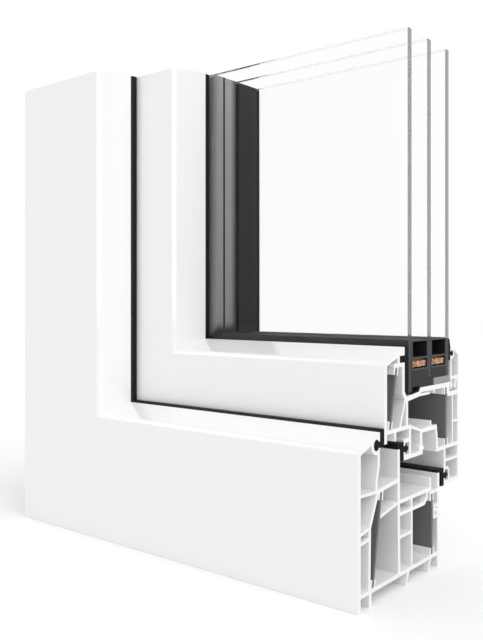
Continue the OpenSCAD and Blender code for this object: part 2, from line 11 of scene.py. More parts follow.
import bmesh
import bpy
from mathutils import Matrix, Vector
from mathutils.geometry import tessellate_polygon


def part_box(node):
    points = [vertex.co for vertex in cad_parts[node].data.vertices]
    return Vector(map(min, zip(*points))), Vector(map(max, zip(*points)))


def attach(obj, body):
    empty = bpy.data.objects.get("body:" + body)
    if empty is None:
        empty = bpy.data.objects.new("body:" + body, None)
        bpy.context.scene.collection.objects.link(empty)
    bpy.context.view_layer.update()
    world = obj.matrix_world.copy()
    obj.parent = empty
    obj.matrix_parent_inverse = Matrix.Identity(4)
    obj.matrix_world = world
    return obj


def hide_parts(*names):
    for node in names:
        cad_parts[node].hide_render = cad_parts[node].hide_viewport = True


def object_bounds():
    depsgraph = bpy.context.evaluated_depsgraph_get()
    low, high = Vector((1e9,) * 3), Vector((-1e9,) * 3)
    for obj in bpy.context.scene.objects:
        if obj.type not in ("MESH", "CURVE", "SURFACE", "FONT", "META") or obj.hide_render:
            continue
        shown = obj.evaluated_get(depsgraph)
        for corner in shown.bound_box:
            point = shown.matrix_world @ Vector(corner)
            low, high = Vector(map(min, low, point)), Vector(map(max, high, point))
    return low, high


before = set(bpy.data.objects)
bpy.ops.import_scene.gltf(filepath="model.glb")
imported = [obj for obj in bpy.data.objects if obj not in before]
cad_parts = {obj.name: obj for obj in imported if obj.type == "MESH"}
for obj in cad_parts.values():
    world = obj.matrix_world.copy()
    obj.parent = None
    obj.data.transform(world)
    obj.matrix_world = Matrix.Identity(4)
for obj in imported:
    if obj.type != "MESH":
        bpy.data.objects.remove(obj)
CAD_LOW, CAD_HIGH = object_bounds()

MM = 0.001
TINY = 0.001 * MM
OUTER_X = CAD_LOW.x

# Fillets on the long edges of each kind of piece
PVC_FILLET = 0.35 * MM
BEAD_FILLET = 0.3 * MM
RUBBER_FILLET = 0.4 * MM
SPACER_FILLET = 0.25 * MM
SEALANT_FILLET = 0.3 * MM
STRIP_FILLET = 0.25 * MM
# A bend sharper than this is a corner and gets a fillet; a gentler one belongs to a drawn curve
CORNER_TURN = math.radians(28)
FILLET_STEP = math.radians(24)
# Most of an edge that the fillet at one of its ends may take
EDGE_SHARE = 0.42
STRAIGHT_TURN = math.radians(0.3)
# Outline points nearer to each other than this are one point
POINT_MERGE = 0.01 * MM
SLANT = math.sqrt(0.5)
# A face whose corner normals differ by less than this is flat
FLAT_SPREAD = 0.0001
# Material slots of a swept piece: its long faces and its sawn ends
WALL = 0
SAWN = 1

# Glass, with a hair of clearance to the seals and spacers that touch it, and packers
PANE_ARRIS = 0.4 * MM
PANE_CLEARANCE = 0.04 * MM
PACKER_ROUND = 0.5 * MM
# Material slots of a pane besides its clear faces
GROUND_SIDE = 1
CUT_TOP = 2
TOP_ARRIS = 3
# Parts of a unit normal that tell a square face and a face that looks up
SQUARE = 0.99
UPWARD = 0.5

# Desiccant beads
BEAD_RADIUS = 0.55 * MM
BEAD_LAYERS = 3
BEAD_ATTEMPTS = 1500
BEAD_SEED = 7
BEAD_SIDE_ROOM = 0.2 * MM
BEAD_TOP_ROOM = 0.6 * MM
# Distances between beads, in bead radii
BEAD_SPACING = 1.5
FIRST_LAYER = 1.05
LAYER_STEP = 1.3
LAYER_SCATTER = (-0.05, 0.35)
# Shares of the bead radius that a bead and a point on it may have
BEAD_SIZES = (0.8, 1.0)
BEAD_DENTS = (0.86, 1.0)


# Outlines of the sawn ends

def sawn_edges(node, axis):
    """Directed border edges of the flat end where a node reaches furthest along an axis."""
    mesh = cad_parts[node].data
    end = max(vertex.co[axis] for vertex in mesh.vertices)
    border = set()
    for face in mesh.polygons:
        corners = [mesh.vertices[i].co for i in face.vertices]
        if any(abs(corner[axis] - end) > TINY for corner in corners):
            continue
        keys = [tuple(round(value, 7) for value in corner) for corner in corners]
        for a, b in zip(keys, keys[1:] + keys[:1]):
            if (b, a) in border:
                border.remove((b, a))
            else:
                border.add((a, b))
    return border


def chained(edges):
    """The closed loops that directed edges make."""
    following = defaultdict(list)
    for a, b in sorted(edges):
        following[a].append(b)
    loops = []
    while following:
        start = next(iter(following))
        loop = [start]
        while True:
            last = loop[-1]
            step = following[last].pop()
            if not following[last]:
                del following[last]
            if step == start:
                break
            loop.append(step)
        loops.append(loop)
    return loops


def turn_at(before, here, after):
    """Signed angle of the bend at a point, positive to the left."""
    a = here - before
    b = after - here
    return math.atan2(a.x * b.y - a.y * b.x, a.dot(b))


def without_doubles(loop):
    """The loop without the points that lie on the one before them."""
    pairs = zip(loop[-1:] + loop[:-1], loop)
    return [here for before, here in pairs if (here - before).length > POINT_MERGE]


def without_straight_points(loop):
    """The loop without the points that lie on a straight stretch."""
    count = len(loop)
    return [loop[i] for i in range(count)
            if abs(turn_at(loop[i - 1], loop[i], loop[(i + 1) % count])) > STRAIGHT_TURN]


def outlines(node, run):
    """Outlines of a node's sawn end as (depth, height), with the material on their left."""
    loops = []
    for loop in chained(sawn_edges(node, 0 if run == "rail" else 2)):
        if run == "rail":
            points = [Vector((y, z)) for x, y, z in loop]
        else:
            points = [Vector((y, x - OUTER_X)) for x, y, z in reversed(loop)]
        loops.append(without_straight_points(without_doubles(points)))
    return loops


def outward(a, b):
    """Unit normal on the right of the way from a to b."""
    way = (b - a).normalized()
    return Vector((way.y, -way.x))


def filleted(loop, radius):
    """The loop's points with their normals, with an arc at each corner."""
    count = len(loop)
    rounded = []
    for i, here in enumerate(loop):
        before = loop[i - 1]
        after = loop[(i + 1) % count]
        turn = turn_at(before, here, after)
        normal_in = outward(before, here)
        normal_out = outward(here, after)
        length_in = (here - before).length
        length_out = (after - here).length
        if abs(turn) < CORNER_TURN:
            normal = normal_in * length_in + normal_out * length_out
            rounded.append((here, normal.normalized()))
            continue
        half = math.tan(abs(turn) / 2)
        cut = min(radius * half, EDGE_SHARE * length_in, EDGE_SHARE * length_out)
        side = -1 if turn > 0 else 1
        start = here + (before - here).normalized() * cut
        middle = start + normal_in * side * cut / half
        steps = max(2, math.ceil(abs(turn) / FILLET_STEP))
        for step in range(steps + 1):
            angle = turn * step / steps
            normal = Vector((normal_in.x * math.cos(angle) - normal_in.y * math.sin(angle),
                             normal_in.x * math.sin(angle) + normal_in.y * math.cos(angle)))
            rounded.append((middle - normal * side * cut / half, normal))
    return rounded


# Swept meshes

class Sweep:
    """A mesh made by moving outlines from the rail's end to the mitre and on to the jamb's end."""

    def __init__(self, loops, stations, rail_end, jamb_end):
        self.loops = loops
        self.section = [point for loop in loops for point, normal in loop]
        self.stations = stations
        self.rail_end = rail_end
        self.jamb_end = jamb_end
        self.faces = []
        self.normals = []
        self.uvs = []
        self.kinds = []
        self.add_walls()

    def place(self, station, point):
        """Where a section point is at a station."""
        x = self.rail_end if station == "rail_end" else OUTER_X + point.y
        z = self.jamb_end if station == "jamb_end" else point.y
        return Vector((x, point.x, z))

    def along(self, station, point):
        """Length of the run from the rail's end to a station."""
        to_mitre = self.rail_end - OUTER_X - point.y
        lengths = {"rail_end": 0.0, "mitre": to_mitre, "jamb_end": to_mitre + self.jamb_end - point.y}
        return lengths[station]

    def number(self, station, index):
        """Number of a section point among the mesh's points."""
        return self.stations.index(station) * len(self.section) + index

    def add_face(self, corners, normals, uvs, kind):
        """One face, with what its corners carry and its material slot."""
        self.faces.append(corners)
        self.normals.extend(normals)
        self.uvs.extend(uvs)
        self.kinds.append(kind)

    def add_walls(self):
        """The long faces between the stations."""
        first = 0
        for loop in self.loops:
            count = len(loop)
            travelled = 0.0
            for i, (point, normal) in enumerate(loop):
                after, normal_after = loop[(i + 1) % count]
                here = first + i
                beyond = first + (i + 1) % count
                reached = travelled + (after - point).length
                for start, end in zip(self.stations, self.stations[1:]):
                    turned = [(0, n.x, n.y) if start == "rail_end" else (n.y, n.x, 0)
                              for n in (normal, normal, normal_after, normal_after)]
                    corners = [self.number(start, here), self.number(end, here),
                               self.number(end, beyond), self.number(start, beyond)]
                    uvs = [(self.along(start, point), travelled), (self.along(end, point), travelled),
                           (self.along(end, after), reached), (self.along(start, after), reached)]
                    self.add_face(corners, turned, uvs, WALL)
                travelled = reached
            first += count

    def add_cap(self, station, normal, kind):
        """The flat end at a station, with the chambers left open."""
        flat = [[Vector((point.x, point.y, 0)) for point, n in loop] for loop in self.loops]
        for triangle in tessellate_polygon(flat):
            a, b, c = (self.place(station, self.section[i]) for i in triangle)
            facing = (b - a).cross(c - a).dot(Vector(normal))
            corners = triangle if facing > 0 else triangle[::-1]
            uvs = [tuple(self.section[i]) for i in corners]
            self.add_face([self.number(station, i) for i in corners], [normal] * 3, uvs, kind)

    def mesh(self, name):
        """The finished mesh, with its normals set."""
        points = [self.place(station, point) for station in self.stations for point in self.section]
        mesh = bpy.data.meshes.new(name)
        mesh.from_pydata(points, [], self.faces)
        layer = mesh.uv_layers.new(name="run")
        for item, uv in zip(layer.data, self.uvs):
            item.uv = uv
        for face, kind in zip(mesh.polygons, self.kinds):
            corners = [Vector(self.normals[corner]) for corner in face.loop_indices]
            face.use_smooth = any((corner - corners[0]).length > FLAT_SPREAD for corner in corners)
            face.material_index = kind
        mesh.update()
        mesh.normals_split_custom_set(self.normals)
        return mesh


def swept_mesh(name, node, run, radius):
    """Sweep of a node's own section along the rail, the jamb or both."""
    low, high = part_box(node)
    stations = {"rail": ["rail_end", "mitre"], "jamb": ["mitre", "jamb_end"],
                "corner": ["rail_end", "mitre", "jamb_end"]}[run]
    loops = [filleted(loop, radius) for loop in outlines(node, "jamb" if run == "jamb" else "rail")]
    sweep = Sweep(loops, stations, high.x, high.z)
    if run == "jamb":
        sweep.add_cap("mitre", (SLANT, 0, -SLANT), WALL)
    else:
        sweep.add_cap("rail_end", (1, 0, 0), SAWN)
    if run == "rail":
        sweep.add_cap("mitre", (-SLANT, 0, SLANT), WALL)
    else:
        sweep.add_cap("jamb_end", (0, 0, 1), SAWN)
    return sweep.mesh(name)


# Shared surface effects

SAW_SLANT = math.radians(24)


def node_group(name, inputs, outputs):
    """An empty shader group with float inputs and the outputs that are named."""
    tree = bpy.data.node_groups.new(name, "ShaderNodeTree")
    for label, value in inputs.items():
        socket = tree.interface.new_socket(name=label, in_out="INPUT", socket_type="NodeSocketFloat")
        socket.default_value = value
    for label in outputs:
        tree.interface.new_socket(name=label, in_out="OUTPUT", socket_type="NodeSocketFloat")
    entry = tree.nodes.new("NodeGroupInput")
    leave = tree.nodes.new("NodeGroupOutput")
    return tree, entry, leave


def math_node(tree, operation, first, second):
    """A Math node whose inputs are sockets or numbers."""
    node = tree.nodes.new("ShaderNodeMath")
    node.operation = operation
    for socket, value in zip(node.inputs, (first, second)):
        if isinstance(value, (int, float)):
            socket.default_value = value
        else:
            tree.links.new(value, socket)
    return node.outputs[0]


def make_mottle():
    """Soft patches over a surface, up to half the swing below and above a middle value."""
    tree, entry, leave = node_group("mottle", {"Scale": 40.0, "Middle": 0.5, "Swing": 0.1}, ["Value"])
    place = tree.nodes.new("ShaderNodeTexCoord")
    noise = tree.nodes.new("ShaderNodeTexNoise")
    noise.inputs["Detail"].default_value = 4.0
    tree.links.new(place.outputs["Object"], noise.inputs["Vector"])
    tree.links.new(entry.outputs["Scale"], noise.inputs["Scale"])
    centred = math_node(tree, "SUBTRACT", noise.outputs["Fac"], 0.5)
    swung = math_node(tree, "MULTIPLY", centred, entry.outputs["Swing"])
    tree.links.new(math_node(tree, "ADD", swung, entry.outputs["Middle"]), leave.inputs["Value"])
    return tree


def run_place(tree):
    """Place on a swept piece, along its run and round its section, in metres."""
    place = tree.nodes.new("ShaderNodeUVMap")
    place.uv_map = "run"
    return place.outputs["UV"]


def add_line_noise(tree, entry, leave, place):
    """Noise that is drawn out along the first direction of a place, as the group's value."""
    split = tree.nodes.new("ShaderNodeSeparateXYZ")
    join = tree.nodes.new("ShaderNodeCombineXYZ")
    noise = tree.nodes.new("ShaderNodeTexNoise")
    noise.inputs["Scale"].default_value = 1.0
    noise.inputs["Detail"].default_value = 3.0
    tree.links.new(place, split.inputs[0])
    for axis, scale in (("X", "Stretch"), ("Y", "Pitch")):
        scaled = math_node(tree, "MULTIPLY", split.outputs[axis], entry.outputs[scale])
        tree.links.new(scaled, join.inputs[axis])
    tree.links.new(join.outputs[0], noise.inputs["Vector"])
    tree.links.new(noise.outputs["Fac"], leave.inputs["Value"])


def make_run_lines():
    """Fine lines along the run of a profile, as an extrusion die or drawn fibres leave them."""
    tree, entry, leave = node_group("run_lines", {"Pitch": 3000.0, "Stretch": 12.0}, ["Value"])
    add_line_noise(tree, entry, leave, run_place(tree))
    return tree


def make_saw_marks():
    """Slanted scratches that a saw leaves on a cut end."""
    tree, entry, leave = node_group("saw_marks", {"Pitch": 2600.0, "Stretch": 90.0}, ["Value"])
    turn = tree.nodes.new("ShaderNodeVectorRotate")
    turn.rotation_type = "Z_AXIS"
    turn.inputs["Angle"].default_value = SAW_SLANT
    tree.links.new(run_place(tree), turn.inputs["Vector"])
    add_line_noise(tree, entry, leave, turn.outputs["Vector"])
    return tree


MOTTLE = make_mottle()
RUN_LINES = make_run_lines()
SAW_MARKS = make_saw_marks()


# Materials

def plain_material(name, colour, roughness):
    """A material with a Principled BSDF of one colour and roughness."""
    material = bpy.data.materials.new(name)
    material.use_nodes = True
    shader = material.node_tree.nodes["Principled BSDF"]
    shader.inputs["Base Color"].default_value = (*colour, 1)
    shader.inputs["Roughness"].default_value = roughness
    return material, material.node_tree, shader


def placed_group(tree, group, **values):
    """A group in a material, with its own values."""
    node = tree.nodes.new("ShaderNodeGroup")
    node.node_tree = group
    for label, value in values.items():
        node.inputs[label].default_value = value
    return node.outputs["Value"]


def two_tone(tree, shader, mask, first, second):
    """Base colour that goes from one tone to another with a mask."""
    mix = tree.nodes.new("ShaderNodeMix")
    mix.data_type = "RGBA"
    mix.inputs["A"].default_value = (*first, 1)
    mix.inputs["B"].default_value = (*second, 1)
    tree.links.new(mask, mix.inputs["Factor"])
    tree.links.new(mix.outputs["Result"], shader.inputs["Base Color"])


def bump(tree, shader, height, depth):
    """Relief of a real depth, in metres."""
    node = tree.nodes.new("ShaderNodeBump")
    node.inputs["Distance"].default_value = depth
    tree.links.new(height, node.inputs["Height"])
    tree.links.new(node.outputs["Normal"], shader.inputs["Normal"])


def shaded(colour, share):
    """A colour made darker or lighter by a share."""
    return tuple(min(1.0, value * share) for value in colour)


def extruded(name, colour, roughness, swing, line_depth, tone=0.03, sheen=0.5):
    """An extruded surface: soft changes of gloss and tone, and faint lines along the run."""
    material, tree, shader = plain_material(name, colour, roughness)
    shader.inputs["Specular IOR Level"].default_value = sheen
    gloss = placed_group(tree, MOTTLE, Scale=55.0, Middle=roughness, Swing=swing)
    tree.links.new(gloss, shader.inputs["Roughness"])
    patches = placed_group(tree, MOTTLE, Scale=18.0, Middle=0.5, Swing=1.6)
    two_tone(tree, shader, patches, shaded(colour, 1 - tone), shaded(colour, 1 + tone))
    bump(tree, shader, placed_group(tree, RUN_LINES, Pitch=2200.0, Stretch=3.0), line_depth)
    return material


def sawn(name, colour, roughness, depth, tone=0.06, sheen=0.2):
    """A sawn end: duller, with slanted scratches."""
    material, tree, shader = plain_material(name, colour, roughness)
    shader.inputs["Specular IOR Level"].default_value = sheen
    scratches = placed_group(tree, SAW_MARKS, Pitch=2600.0, Stretch=90.0)
    two_tone(tree, shader, scratches, shaded(colour, 1 - tone), shaded(colour, 1 + tone))
    bump(tree, shader, scratches, depth)
    return material


def fibre_face():
    """Flat strip of drawn fibres in resin: dark and light streaks along its length."""
    material, tree, shader = plain_material("fibre_strip_face", FIBRE_GREY, FIBRE_ROUGHNESS)
    shader.inputs["Specular IOR Level"].default_value = 0.3
    streaks = placed_group(tree, RUN_LINES, Pitch=2600.0, Stretch=14.0)
    two_tone(tree, shader, streaks, shaded(FIBRE_GREY, 0.8), shaded(FIBRE_GREY, 1.2))
    gloss = placed_group(tree, MOTTLE, Scale=60.0, Middle=FIBRE_ROUGHNESS, Swing=0.2)
    tree.links.new(gloss, shader.inputs["Roughness"])
    bump(tree, shader, streaks, 0.03 * MM)
    return material


def smooth_step(tree, value, start, end):
    """0 before the start and 1 past the end, with a soft change between them."""
    node = tree.nodes.new("ShaderNodeMapRange")
    node.interpolation_type = "SMOOTHSTEP"
    node.inputs["From Min"].default_value = start
    node.inputs["From Max"].default_value = end
    tree.links.new(value, node.inputs["Value"])
    return node.outputs["Result"]


def grey(tree, mask, first, second):
    """A grey value that goes from one tone to another with a mask."""
    spread = math_node(tree, "MULTIPLY", mask, second - first)
    return math_node(tree, "ADD", spread, first)


def spacer_face(name, node, jamb_painted_tone, back_painted_tone, painted_fade, rail_tone):
    """Spacer bar: dark walls, lighter where it shows above the seal, with painted light and shade on the
    jamb's seen part and a dark line along it.
    """
    material, tree, shader = plain_material(name, SPACER_DARK, SPACER_ROUGHNESS)
    shader.inputs["Specular IOR Level"].default_value = 0.06
    low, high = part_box(node)
    top = max(point.y for loop in outlines(node, "rail") for point in loop)
    place = tree.nodes.new("ShaderNodeTexCoord")
    split = tree.nodes.new("ShaderNodeSeparateXYZ")
    tree.links.new(place.outputs["Object"], split.inputs[0])
    depth = split.outputs["Y"]
    from_jamb = math_node(tree, "SUBTRACT", split.outputs["X"], OUTER_X)
    inward = math_node(tree, "MINIMUM", from_jamb, split.outputs["Z"])
    past_mitre = math_node(tree, "SUBTRACT", split.outputs["Z"], from_jamb)
    on_jamb = smooth_step(tree, past_mitre, 0.0, CORNER_FADE)
    front = math_node(tree, "LESS_THAN", depth, low.y + SPACER_SKIN)
    above_seal = math_node(tree, "GREATER_THAN", inward, top - SEEN_HEIGHT)
    on_top = math_node(tree, "GREATER_THAN", inward, top - SPACER_SKIN)
    sight = math_node(tree, "MAXIMUM", math_node(tree, "MULTIPLY", front, above_seal), on_top)
    # A dark line along the jamb's seen part, where the painted light is left out; the rail has none
    dark_line_at = (low.y + high.y) / 2 - DARK_LINE_FORWARD
    aside = math_node(tree, "ABSOLUTE", math_node(tree, "SUBTRACT", depth, dark_line_at), 0.0)
    beside = math_node(tree, "GREATER_THAN", aside, DARK_LINE_WIDTH / 2)
    # On the jamb the seen part is painted with light and shade: lighter on the outer spacer, lit from the
    # front right through one pane, darker on the inner one, behind two panes
    painted_jamb_mask = math_node(tree, "MULTIPLY", math_node(tree, "MULTIPLY", sight, on_jamb), beside)
    rail_mask = math_node(tree, "MULTIPLY", sight, math_node(tree, "SUBTRACT", 1.0, on_jamb))
    # Towards the back the jamb's seen part changes: painted shade on the outer spacer, a painted
    # highlight on the inner one
    painted_back_mask = smooth_step(tree, depth, high.y - painted_fade, high.y)
    painted_across = grey(tree, painted_back_mask, jamb_painted_tone, back_painted_tone)
    lift = math_node(tree, "MULTIPLY", painted_jamb_mask, math_node(tree, "SUBTRACT", painted_across, SPACER_DARK[0]))
    painted_jamb_tint = math_node(tree, "ADD", lift, SPACER_DARK[0])
    tone = math_node(tree, "MAXIMUM", painted_jamb_tint, grey(tree, rail_mask, SPACER_DARK[0], rail_tone))
    tree.links.new(tone, shader.inputs["Base Color"])
    gloss = placed_group(tree, MOTTLE, Scale=90.0, Middle=SPACER_ROUGHNESS, Swing=0.15)
    tree.links.new(gloss, shader.inputs["Roughness"])
    bump(tree, shader, placed_group(tree, RUN_LINES, Pitch=2500.0, Stretch=6.0), 0.004 * MM)
    return material


def lumpy(name, colour, roughness, scale, depth):
    """A hand-applied sealant: dull, with soft lumps and patches."""
    material, tree, shader = plain_material(name, colour, roughness)
    shader.inputs["Specular IOR Level"].default_value = 0.2
    lumps = placed_group(tree, MOTTLE, Scale=scale, Middle=0.5, Swing=1.0)
    two_tone(tree, shader, lumps, shaded(colour, 0.75), shaded(colour, 1.25))
    bump(tree, shader, lumps, depth)
    return material


def glass(name, colour, roughness, clarity, ior):
    """Glass with a plain transmission."""
    material, tree, shader = plain_material(name, colour, roughness)
    shader.inputs["Transmission Weight"].default_value = clarity
    shader.inputs["IOR"].default_value = ior
    return material


def bead_clay():
    """Desiccant beads, each with a tone of its own."""
    material, tree, shader = plain_material("desiccant_beads", DESICCANT_LIGHT, 0.75)
    tone = tree.nodes.new("ShaderNodeAttribute")
    tone.attribute_name = "bead_tone"
    two_tone(tree, shader, tone.outputs["Fac"], DESICCANT_DARK, DESICCANT_LIGHT)
    bump(tree, shader, placed_group(tree, MOTTLE, Scale=4000.0, Middle=0.5, Swing=1.0), 0.05 * MM)
    return material


PVC_WHITE = (0.87, 0.87, 0.868)
RUBBER_BLACK = (0.011, 0.011, 0.0112)
RUBBER_CUT = (0.005, 0.005, 0.005)
FIBRE_GREY = (0.14, 0.141, 0.144)
FIBRE_ROUGHNESS = 0.45
SPACER_DARK = (0.018, 0.018, 0.018)
SPACER_ROUGHNESS = 0.6
SPACER_SAWN = (0.055, 0.055, 0.057)
SEALANT_GREY = (0.018, 0.018, 0.0184)
ADHESIVE_GREY = (0.02, 0.02, 0.0204)
PACKER_GREY = (0.245, 0.248, 0.248)
DESICCANT_LIGHT = (0.8, 0.5, 0.31)
DESICCANT_DARK = (0.3, 0.14, 0.075)
GLASS_TINT = (0.99, 0.991, 0.9905)
GLASS_EDGE_TINT = (0.17, 0.176, 0.174)
GLASS_TOP_TINT = (0.8, 0.803, 0.802)
GLASS_ARRIS_TINT = (0.82, 0.823, 0.822)
GLASS_IOR = 1.17
GLASS_ARRIS_IOR = 1.001
# Spacer: the dark line on the jamb, the skin that takes a tone, the height that shows above the seal, and
# how far the rail's tone turns into the jamb's painted light and shade at the corner
DARK_LINE_WIDTH = 1.7 * MM
DARK_LINE_FORWARD = 2.6 * MM
SPACER_SKIN = 0.4 * MM
SEEN_HEIGHT = 7 * MM
CORNER_FADE = 8 * MM

# The sawn white is a darker copy of the face colour: painted shade against the strong light on the sawn
# ends
PVC = [extruded("white_pvc", PVC_WHITE, roughness=0.09, swing=0.04, line_depth=0.002 * MM, tone=0.008),
       sawn("white_pvc_sawn", shaded(PVC_WHITE, 0.95), roughness=0.5, depth=0.02 * MM, tone=0.02)]
RUBBER = [extruded("black_rubber", RUBBER_BLACK, roughness=0.5, swing=0.16, line_depth=0.01 * MM,
                   tone=0.15, sheen=0.1),
          sawn("black_rubber_cut", RUBBER_CUT, roughness=0.6, depth=0.02 * MM, tone=0.2, sheen=0.06)]
FIBRE = [fibre_face(),
         sawn("fibre_strip_sawn", FIBRE_GREY, roughness=0.65, depth=0.03 * MM, tone=0.3)]
SPACER_CUT = sawn("spacer_sawn", SPACER_SAWN, roughness=0.55, depth=0.02 * MM)
# The jamb's tones of the spacers are painted light and shade; the rail's tone is the seen colour of the
# bar
SPACER_OUTER = [spacer_face("spacer_outer_face", "spacer_outer", jamb_painted_tone=0.34, back_painted_tone=0.06,
                            painted_fade=6 * MM, rail_tone=0.058),
                SPACER_CUT]
SPACER_INNER = [spacer_face("spacer_inner_face", "spacer_inner", jamb_painted_tone=0.025, back_painted_tone=0.05,
                            painted_fade=2.5 * MM, rail_tone=0.045),
                SPACER_CUT]
SEALANT = [lumpy("edge_sealant", SEALANT_GREY, roughness=0.55, scale=220.0, depth=0.1 * MM),
           sawn("edge_sealant_sawn", SEALANT_GREY, roughness=0.6, depth=0.03 * MM, tone=0.2)]
ADHESIVE = [lumpy("glazing_adhesive", ADHESIVE_GREY, roughness=0.5, scale=160.0, depth=0.15 * MM),
            sawn("glazing_adhesive_sawn", ADHESIVE_GREY, roughness=0.6, depth=0.03 * MM, tone=0.2)]
PACKER = [extruded("packer_plastic", PACKER_GREY, roughness=0.45, swing=0.12, line_depth=0.01 * MM,
                   tone=0.06)]
GLASS = [glass("clear_glass", GLASS_TINT, roughness=0.0, clarity=1.0, ior=GLASS_IOR),
         glass("ground_glass_edge", GLASS_EDGE_TINT, roughness=0.15, clarity=0.75, ior=GLASS_IOR),
         glass("cut_glass_top", GLASS_TOP_TINT, roughness=0.0, clarity=0.9, ior=GLASS_IOR),
         glass("glass_arris", GLASS_ARRIS_TINT, roughness=0.0, clarity=1.0, ior=GLASS_ARRIS_IOR)]
DESICCANT = [bead_clay()]


# Pieces

def add_piece(name, mesh, node, materials):
    """Put a mesh into the scene in place of a node."""
    for material in materials:
        mesh.materials.append(material)
    piece = bpy.data.objects.new(name, mesh)
    bpy.context.scene.collection.objects.link(piece)
    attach(piece, "root")
    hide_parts(node)
    return piece


def add_swept(node, run, radius, materials):
    """A swept piece in place of a node."""
    add_piece(node + "_run", swept_mesh(node + "_run", node, run, radius), node, materials)


def rounded_box(name, low, high, radius, segments):
    """A box with round or chamfered edges."""
    solid = bmesh.new()
    bmesh.ops.create_cube(solid, size=1.0)
    for vertex in solid.verts:
        for axis in range(3):
            vertex.co[axis] = high[axis] if vertex.co[axis] > 0 else low[axis]
    bmesh.ops.bevel(solid, geom=solid.edges[:], offset=radius, segments=segments, profile=0.5,
                    affect="EDGES", clamp_overlap=True)
    mesh = bpy.data.meshes.new(name)
    solid.to_mesh(mesh)
    solid.free()
    return mesh


def add_pane(node):
    """A glass pane with clear faces, ground sides and a cut top with fine arrises."""
    low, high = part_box(node)
    gap = Vector((0, PANE_CLEARANCE, 0))
    mesh = rounded_box(node + "_glass", low + gap, high - gap, PANE_ARRIS, 1)
    for face in mesh.polygons:
        if face.normal.z > SQUARE:
            face.material_index = CUT_TOP
        elif face.normal.z > UPWARD:
            face.material_index = TOP_ARRIS
        elif abs(face.normal.y) < SQUARE:
            face.material_index = GROUND_SIDE
    add_piece(node + "_glass", mesh, node, GLASS)


def add_packer(node):
    """A packer with round edges, and a plain layout of each face for its run lines."""
    low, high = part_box(node)
    mesh = rounded_box(node + "_block", low, high, PACKER_ROUND, 3)
    mesh.uv_layers.new(name="run")
    add_piece(node + "_block", mesh, node, PACKER)


def bead_places(low, high, draw):
    """Loose places of the beads that fill a chamber's end, as (depth, height, inward)."""
    places = []
    for layer in range(BEAD_LAYERS):
        taken = []
        for attempt in range(BEAD_ATTEMPTS):
            spot = Vector((draw.uniform(low[0] + BEAD_RADIUS, high[0] - BEAD_RADIUS),
                           draw.uniform(low[1] + BEAD_RADIUS, high[1] - BEAD_RADIUS)))
            if all((spot - other).length > BEAD_SPACING * BEAD_RADIUS for other in taken):
                taken.append(spot)
                inward = BEAD_RADIUS * (FIRST_LAYER + LAYER_STEP * layer + draw.uniform(*LAYER_SCATTER))
                places.append((spot.x, spot.y, inward))
    return places


def add_desiccant(node):
    """Beads at both sawn ends of a spacer's lower chamber, with a plain fill behind them."""
    draw = random.Random(BEAD_SEED)
    low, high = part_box(node)
    section = outlines(node, "rail")[0]
    first = (min(p.x for p in section) + BEAD_SIDE_ROOM, min(p.y for p in section))
    last = (max(p.x for p in section) - BEAD_SIDE_ROOM, max(p.y for p in section) - BEAD_TOP_ROOM)
    hold_back = BEAD_RADIUS * (LAYER_STEP * BEAD_LAYERS)
    sweep = Sweep([filleted(section, SPACER_FILLET)], ["rail_end", "mitre", "jamb_end"],
                  high.x - hold_back, high.z - hold_back)
    sweep.add_cap("rail_end", (1, 0, 0), WALL)
    sweep.add_cap("jamb_end", (0, 0, 1), WALL)
    fill = bmesh.new()
    fill.from_mesh(sweep.mesh(node + "_core"))
    tone = fill.verts.layers.float.new("bead_tone")
    for end in ("rail", "jamb"):
        for depth, height, inward in bead_places(first, last, draw):
            if end == "rail":
                centre = Vector((high.x - inward, depth, height))
            else:
                centre = Vector((OUTER_X + height, depth, high.z - inward))
            radius = BEAD_RADIUS * draw.uniform(*BEAD_SIZES)
            value = draw.uniform(0, 1)
            made = bmesh.ops.create_icosphere(fill, subdivisions=2, radius=radius)
            for vertex in made["verts"]:
                vertex.co = vertex.co * draw.uniform(*BEAD_DENTS) + centre
                vertex[tone] = value
    for face in fill.faces:
        face.smooth = True
    mesh = bpy.data.meshes.new(node + "_beads")
    fill.to_mesh(mesh)
    fill.free()
    add_piece(node + "_beads", mesh, node, DESICCANT)


for profile in ("frame", "sash"):
    add_swept(profile + "_bottom_rail", "rail", PVC_FILLET, PVC)
    add_swept(profile + "_left_jamb", "jamb", PVC_FILLET, PVC)
add_swept("bead_bottom", "rail", BEAD_FILLET, PVC)
add_swept("bead_left", "jamb", BEAD_FILLET, PVC)
for place in ("front", "centre", "inner", "glazing", "bead"):
    add_swept("seal_" + place, "corner", RUBBER_FILLET, RUBBER)
for profile in ("frame", "sash"):
    for place in ("front", "back"):
        for run in ("rail", "jamb"):
            add_swept(f"strip_{profile}_{place}_{run}", run, STRIP_FILLET, FIBRE)
for cavity, materials in (("outer", SPACER_OUTER), ("inner", SPACER_INNER)):
    add_swept("spacer_" + cavity, "corner", SPACER_FILLET, materials)
    add_swept("edge_sealant_" + cavity, "corner", SEALANT_FILLET, SEALANT)
    add_desiccant("desiccant_" + cavity)
add_swept("glazing_adhesive", "corner", SEALANT_FILLET, ADHESIVE)
for place in ("outer", "middle", "inner"):
    add_pane("pane_" + place)
for place in ("bottom", "left"):
    add_packer("packer_" + place)


# Floor, light and camera

FLOOR_SIZE = 30.0
FLOOR_WHITE = (0.92, 0.92, 0.92)
# Far away the floor is as bright as the surroundings, so that no horizon shows through the glass
FAR_WHITE = (0.887, 0.887, 0.887)
FAR_START = 1.0
FAR_END = 3.0
FLOOR_LIFT = 0.022
SKY_LIGHT = 0.8
SUN_WAY = Vector((-0.62, 0.2, -0.76))
SUN_LIGHT = 1.25
SUN_WIDTH = math.radians(60)
